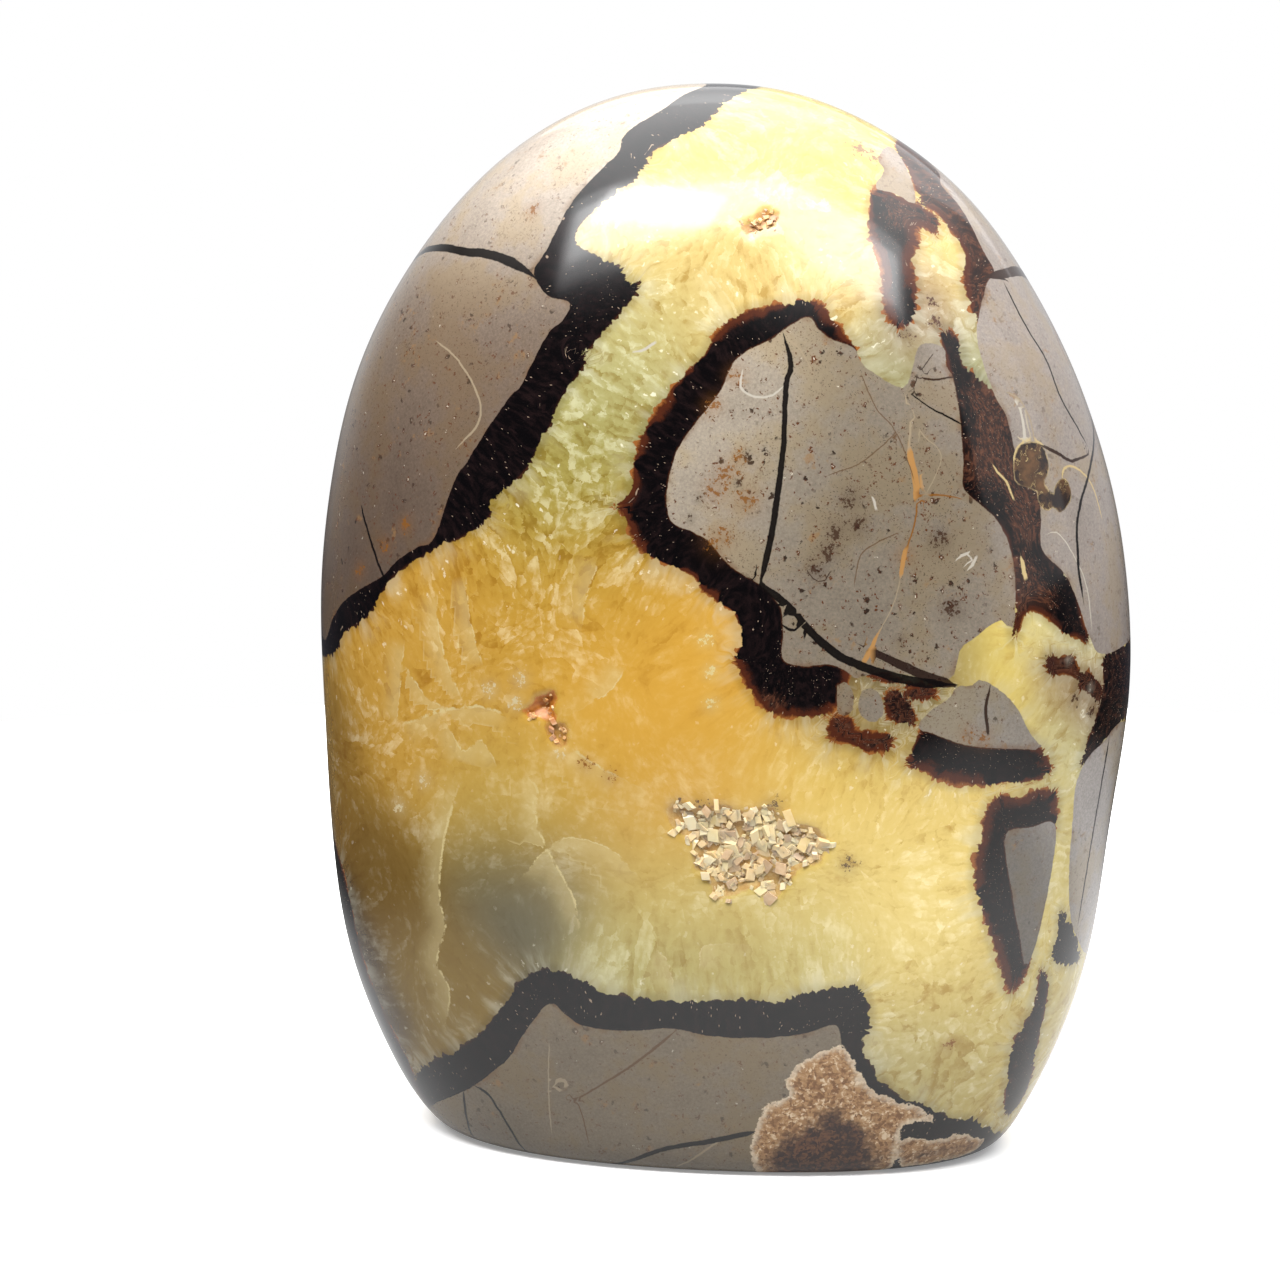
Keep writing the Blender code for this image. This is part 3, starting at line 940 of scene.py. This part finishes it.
def stone_colour(s, place, depth, stir):
    """Fine mudstone: mottled, grainy, with dark specks, rusty patches and a few pale flecks."""
    tint = s.attribute("stone_tint", "Color")
    specked = tint.output("Alpha")
    mottle = s.noise(place, 0.10, 4, 0.65)
    patches = s.noise(place, 0.22, 3, 0.6)
    grain = s.noise(place, 2.6, 3, 0.8)
    clumps = s.noise(place, 0.55, 4, 0.7)
    colour = tint * (mottle * 0.7 + (grain * 0.95 + 0.175))
    colour = s.mix(s.step(mottle, 0.44, 0.60) * 0.7, colour, tint * (0.98, 0.90, 0.70))
    lines = s.step(abs(patches - 0.5), 0.012, 0.0) * s.step(mottle, 0.50, 0.60)
    colour = s.mix(lines * 0.35, colour, (0.16, 0.12, 0.085))
    rusty = s.step(clumps, 0.55, 0.68) * s.step(patches, 0.54, 0.64)
    colour = s.mix(rusty * 0.6, colour, (0.24, 0.13, 0.05))

    ragged = place + stir * 2.2
    large = s.cells(ragged, 0.60)
    big = s.step(large, 0.25, 0.175) * s.step(patches, 0.48, 0.56)
    middling = specks(s, ragged, 1.3, 0.27, clumps, 0.48)
    tiny = specks(s, ragged, 2.6, 0.26, mottle, 0.44) * 0.7
    dark_specks = s.math("MAXIMUM", s.math("MAXIMUM", big, middling), tiny)
    speck_tone = s.mix(s.step(clumps, 0.45, 0.6), (0.022, 0.014, 0.010), (0.085, 0.026, 0.010))
    colour = s.mix(dark_specks * specked * 0.9, colour, speck_tone)
    pale = s.step(large, 0.11, 0.07) * s.step(clumps, 0.50, 0.58)
    colour = s.mix(pale * specked * 0.8, colour, (0.60, 0.55, 0.44))
    near_edge = s.step(depth, 1.0, 0.0) * s.step(patches, 0.50, 0.62)
    return s.mix(near_edge * 0.5, colour, (0.13, 0.065, 0.03))


def crust_colour(s, place, depth, stir):
    """Brown sugary crystals with a pale rim and a dark heart near the ground."""
    grains, _ = facets(s, place + stir * 2.0, 1.7)
    value = s.noise(place, 0.55, 4, 0.7) * 1.3 + (grains * 0.42 - 0.37)
    light = s.mix(s.step(value, 0.15, 0.60), (0.17, 0.078, 0.030), (0.38, 0.215, 0.095))
    light = s.mix(s.step(value, 0.58, 0.90), light, (0.66, 0.51, 0.34))
    heart = s.mix(s.step(value, 0.25, 0.85), (0.020, 0.009, 0.007), (0.13, 0.055, 0.024))
    wavy = s.noise(place, 0.22, 3, 0.6) * 8.0 - 3.2
    near_ground = place.channel("Blue") * -0.42 + wavy
    colour = s.mix(s.step(depth + near_ground, 0.6, 4.0), light, heart)
    fuzz = stir.channel("Green") * 2.4 + depth
    return s.mix(s.step(fuzz, 1.1, 0.0) * 0.7, colour, (0.66, 0.56, 0.42))


def bud_colour(s, place, depth, stir):
    """Brown fossil buds, golden in places and along the skin."""
    swirl = s.noise(place + stir * 1.2, 0.45, 3, 0.55)
    colour = s.mix(s.step(swirl, 0.34, 0.76), (0.014, 0.008, 0.007), (0.130, 0.064, 0.026))
    fold = s.step(abs(swirl - 0.5), 0.014, 0.0)
    bright = s.step(stir.channel("Green"), -0.10, 0.10)
    colour = s.mix(fold * bright * 0.8, colour, (0.46, 0.33, 0.14))
    skin = s.step(depth, 0.22, 0.04) * (bright * 0.5 + 0.08)
    return s.mix(skin, colour, (0.56, 0.42, 0.20))


def line_mask(s, family, bend, wobble):
    """1 on the thin lines of a family and 0 off them."""
    half = s.attribute(family + "_half")
    side = bend * wobble + s.attribute(family + "_side")
    on_line = s.step(abs(side) - half, 0.08, -0.05) * s.step(half, 0.0, 0.04)
    return on_line * s.step(s.attribute(family + "_near") - half, 1.0, 0.5)


def stained(s, place, colour):
    """Crowds of small ragged spots, each crowd in a faint halo."""
    tone = s.attribute("stain", "Color")
    thick = tone.output("Alpha")
    ragged = thick * 0.26 + s.noise(place, 1.5, 4, 0.7)
    spots = s.step(ragged, 0.70, 0.77) * s.step(thick, 0.05, 0.35)
    return s.mix(s.math("MAXIMUM", spots * 0.9, thick * 0.3), colour, tone)


def ragged_wall(s, place, growth, wall):
    """Distance to the wall of the dark areas, with crystal teeth, large here and small there."""
    lumps = 0.45 - s.cells(growth, 0.62)
    spikes = s.cells(growth, 1.2) - 0.42
    jagged = s.noise(place, 2.2, 2, 0.65) - 0.5
    tooth_size = (s.noise(growth, 0.2, 1) - 0.2) * 2.4 + 0.6
    return wall - (lumps * 0.75 + (spikes * 0.5 + jagged * 0.4)) * tooth_size


def stone_material():
    material = bpy.data.materials.new("septarian_stone")
    s = Shader(material)
    place = s.node("TexCoord", "Object") * (1 / MM)
    growth = s.attribute("growth", "Vector")
    wall = s.attribute("dark")
    stir = s.noise(place, 0.6, 4, 0.7, output="Color") - (0.5, 0.5, 0.5)
    bend = stir.channel("Red")

    colour = veined(s, calcite_colour(s, place, growth, wall, stir), bend)
    stone_edge = s.attribute("stone")
    dark = dark_colour(s, place, -wall, growth, stone_edge, bend)
    colour = s.mix(s.step(ragged_wall(s, place, growth, wall), 0.09, -0.09), colour, dark)
    stone_edge = bend * 0.5 + stone_edge
    colour = s.mix(s.step(stone_edge, 0.07, -0.07), colour, stone_colour(s, place, -stone_edge, stir))
    colour = stained(s, place, colour)
    colour = s.mix(line_mask(s, "seam", bend, 0.4) * 0.95, colour, s.attribute("seam_colour", "Color"))
    bud_edge = bend * 0.5 + s.attribute("bud")
    colour = s.mix(s.step(bud_edge, 0.08, -0.08), colour, bud_colour(s, place, -bud_edge, stir))
    colour = s.mix(line_mask(s, "crack", bend, 0.45) * 0.97, colour, s.attribute("crack_colour", "Color"))
    crust_edge = bend * 2.2 + s.attribute("crust")
    is_crust = s.step(crust_edge, 0.08, -0.08)
    colour = s.mix(is_crust, colour, crust_colour(s, place, -crust_edge, stir))
    in_vug = s.step(bend * 1.8 + s.attribute("vug"), 0.15, -0.25)
    grain = s.mix(s.step(s.noise(place, 1.5, 4, 0.7), 0.35, 0.65), (0.80, 0.62, 0.42), (1.0, 0.98, 0.92))
    colour = s.mix(in_vug * 0.9, colour, s.attribute("vug_tone", "Color") * grain)

    surface = s.tree.nodes["Principled BSDF"].inputs
    s.set(surface["Base Color"], colour)
    s.set(surface["Roughness"], in_vug * 0.3 + (is_crust * 0.22 + (bend * 0.05 + 0.11)))
    surface["IOR"].default_value = 1.52
    return material


def crystal_material():
    material = bpy.data.materials.new("vug_crystal")
    s = Shader(material)
    cloudy = s.noise(s.node("TexCoord", "Object") * (1 / MM), 1.2, 3)
    surface = s.tree.nodes["Principled BSDF"].inputs
    s.set(surface["Base Color"], s.mix(cloudy * 0.4, s.attribute("tone", "Color"), (0.90, 0.80, 0.58)))
    surface["Roughness"].default_value = 0.28
    surface["Subsurface Weight"].default_value = 0.5
    surface["Subsurface Radius"].default_value = (1.0, 0.9, 0.8)
    surface["Subsurface Scale"].default_value = 0.6 * MM
    return material


FIELD_KINDS = {1: ("FLOAT", "value"), 3: ("FLOAT_VECTOR", "vector"), 4: ("FLOAT_COLOR", "color")}


def add_field(data, name, values):
    """Give each vertex a number, three numbers or a colour with a fourth part."""
    kind, key = FIELD_KINDS[values.size // len(values)]
    data.attributes.new(name, kind, "POINT").data.foreach_set(key, values.astype(np.float32).ravel())


def placed(name, data):
    """A new object with this data, in the scene."""
    made = bpy.data.objects.new(name, data)
    bpy.context.collection.objects.link(made)
    return made


def ripples(points):
    """Gentle unevenness of a hand-polished surface, none of it on the flat."""
    height = np.zeros(len(points))
    for length, size in ((38, 0.13), (31, 0.11), (23, 0.07), (17, 0.04)):
        heading = unit(rng.normal(size=3))
        height += size * np.sin(points @ heading * 2 * math.pi / length + rng.uniform(0, 2 * math.pi))
    off_flat = np.clip((points[:, 2] + CENTRE_HEIGHT - 1) / 6, 0, 1)
    return height * off_flat


def mark(data, quads):
    """Give the mesh every field that its material reads. Returns the hollows' distances and numbers."""
    rims, browns, outlines = zip(*DARK_AREAS)
    dark, growth, owner = edge_fields(outlines)
    off_wall = smooth_step(np.abs(dark), 1.0, 4.0)[:, None]
    growth += (smoothed(growth, quads, GROWTH_ROUNDS) - growth) * off_wall
    _, tones, hollows = zip(*VUG_AREAS)
    vug, _, hollow = edge_fields(hollows)
    fields = {
        "dark": dark,
        "growth": growth,
        "rim": np.array(rims)[owner],
        "brown": np.array(browns)[owner] + crowds([(BROWN, *place) for place in BROWN_PLACES])[:, 3],
        "stone": edge_fields(STONE_AREAS)[0],
        "crust": edge_fields(CRUST_AREAS)[0],
        "bud": edge_fields(BUD_AREAS)[0],
        "calcite_tint": blended_tints(CALCITE_TINTS),
        "stone_tint": blended_tints(STONE_TINTS),
        "stain": crowds(STAINS),
        "vug": vug,
        "vug_tone": np.array([linear(tone) for tone in tones])[hollow],
    }
    for family, lines in (("crack", CRACKS), ("seam", SEAMS), ("vein", VEINS)):
        for part, values in zip(("_side", "_near", "_half", "_colour"), line_fields(lines)):
            fields[family + part] = values
    for name, values in fields.items():
        add_field(data, name, values)
    return vug, hollow


def make_stone():
    quads, sheets = box_quads(GRID)
    data = bpy.data.meshes.new("nodule_stone")
    data.from_pydata(np.zeros((len(POINTS), 3)), [], quads.tolist())
    vug, hollow = mark(data, quads)
    depths = np.array([depth for depth, _, _ in VUG_AREAS])[hollow]
    sunk = smooth_step(-vug, -0.3, 1.6) * depths
    places = to_frame(POINTS + NORMALS * (ripples(POINTS) - sunk)[:, None])
    data.vertices.foreach_set("co", (places * MM).ravel())
    data.uv_layers.new(name="OFBake").data.foreach_set("uv", sheets.ravel())
    data.update()
    data.shade_smooth()
    data.materials.append(stone_material())
    return placed("nodule_stone", data), places, vug, hollow


def crystal_block(size, normal):
    """A slanting calcite block's eight corners about its middle, leaning a little away from the normal."""
    corners = np.array([(x, y, z) for x in (-1, 1) for y in (-1, 1) for z in (-1, 1)], float)
    corners[:, 0] += 0.28 * corners[:, 2]
    corners[:, 1] += 0.22 * corners[:, 0]
    corners *= size / 2 * rng.uniform((0.6, 0.5, 0.3), (1.3, 1.1, 0.6))
    upright = unit(normal + rng.normal(0, 0.22, 3))
    across = unit(np.cross(upright, rng.normal(size=3)))
    return corners @ np.stack((across, np.cross(upright, across), upright))


def make_crystals(name, material, wells, places, edge, count, sizes, tones):
    """Small blocks crowded on a hollow's floor. They thin out and sink in towards its edge."""
    crowd = smooth_step(-edge[wells], -0.7, 1.0)
    chosen = rng.choice(wells, count, p=crowd / crowd.sum())
    corners = []
    colours = []
    for vertex in chosen:
        size = rng.uniform(*sizes)
        rise = rng.uniform(-0.15, 0.20) - 0.16 * size - 0.20 * smooth_step(edge[vertex], -1.0, 0.5)
        middle = places[vertex] + NORMALS[vertex] * rise + rng.normal(0, 0.25, 3)
        corners.append(middle + crystal_block(size, NORMALS[vertex]))
        tone = linear(tones[rng.integers(len(tones))]) * CRYSTAL_GAIN
        colours.append(np.repeat(tone[None] * rng.uniform(0.85, 1.05), 8, axis=0))
    faces = np.concatenate([BLOCK_FACES + 8 * number for number in range(count)])
    data = bpy.data.meshes.new(name)
    data.from_pydata(np.concatenate(corners) * MM, [], faces.tolist())
    add_field(data, "tone", np.concatenate(colours))
    data.materials.append(material)
    return placed(name, data)


def add_camera():
    data = bpy.data.cameras.new("camera")
    data.lens = LENS
    data.sensor_width = SENSOR
    camera = placed("camera", data)
    camera.location = EYE * MM
    camera.rotation_euler = Vector(FORWARD).to_track_quat("-Z", "Y").to_euler()
    bpy.context.scene.camera = camera


def add_panel(name, azimuth, elevation, distance, width, height, radiance):
    """A soft light panel that faces the stone. Azimuth 0 is the front and 90 the right side, in degrees."""
    data = bpy.data.lights.new(name, "AREA")
    data.shape = "RECTANGLE"
    data.size = width
    data.size_y = height
    data.energy = radiance * math.pi * width * height
    panel = placed(name, data)
    direction = around(azimuth, elevation)[0]
    panel.location = direction * distance + (0, 0, CENTRE_HEIGHT * MM)
    panel.rotation_euler = Vector(direction).to_track_quat("Z", "Y").to_euler()
    panel.visible_camera = False


def add_floor():
    """A round pale floor. In reflections it darkens away from the stone, as under one soft light."""
    data = bpy.data.meshes.new("floor")
    turns = np.linspace(0, 2 * math.pi, 97)[:-1]
    ring = FLOOR_RADIUS * np.stack((np.cos(turns), np.sin(turns), 0 * turns), axis=-1)
    data.from_pydata(ring, [], [range(len(ring))])
    material = bpy.data.materials.new("floor_white")
    s = Shader(material)
    reflected = s.node("LightPath", "Is Glossy Ray")
    bounced = s.node("LightPath", "Is Diffuse Ray")
    far_out = s.math("LENGTH", s.node("TexCoord", "Object") - FLOOR_SHEEN_MIDDLE).output("Value")
    sheen = s.step(far_out, *FLOOR_SHEEN_REACH) * 0.55 - 1.0
    dimmed = reflected * sheen + (bounced * -0.70 + 1.0)
    surface = s.tree.nodes["Principled BSDF"].inputs
    s.set(surface["Base Color"], dimmed * 0.88 + 0.02)
    surface["Roughness"].default_value = 0.6
    surface["Specular IOR Level"].default_value = 0.0
    surface["Emission Color"].default_value = (1, 1, 1, 1)
    s.set(surface["Emission Strength"], dimmed * 0.25)
    data.materials.append(material)
    placed("floor", data)


def add_surroundings():
    """White behind the stone, lit by a room that is bright overhead, dim in front and pale behind."""
    world = bpy.data.worlds.new("studio")
    bpy.context.scene.world = world
    s = Shader(world)
    heading = s.node("TexCoord", "Generated")
    upwards = s.node("SeparateXYZ", "Z", Vector=heading)
    behind = s.step(s.dot(heading, (0.35, 0.94, 0)), -0.10, 0.75)
    room = s.mix(behind * s.step(upwards, -0.12, 0.10), ROOM_FRONT, ROOM_BACK)
    room = s.mix(s.step(upwards, 0.50, 0.98), room, ROOM_TOP)
    seen = s.node("LightPath", "Is Camera Ray")
    s.set(s.tree.nodes["Background"].inputs["Color"], s.mix(seen, room, (1, 1, 1)))


add_camera()
stone, places, vug, hollow = make_stone()
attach(stone, "root")
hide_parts("nodule")

crystal = crystal_material()
for name, number, count, sizes, tones in CRYSTALS:
    wells = np.flatnonzero((vug < 0.5) & (hollow == number))
    crystals = make_crystals(name, crystal, wells, places, vug, count, sizes, tones)
    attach(crystals, "root")

add_floor()
for panel in PANELS:
    add_panel(*panel)
add_surroundings()
bpy.context.scene.view_settings.view_transform = "Standard"
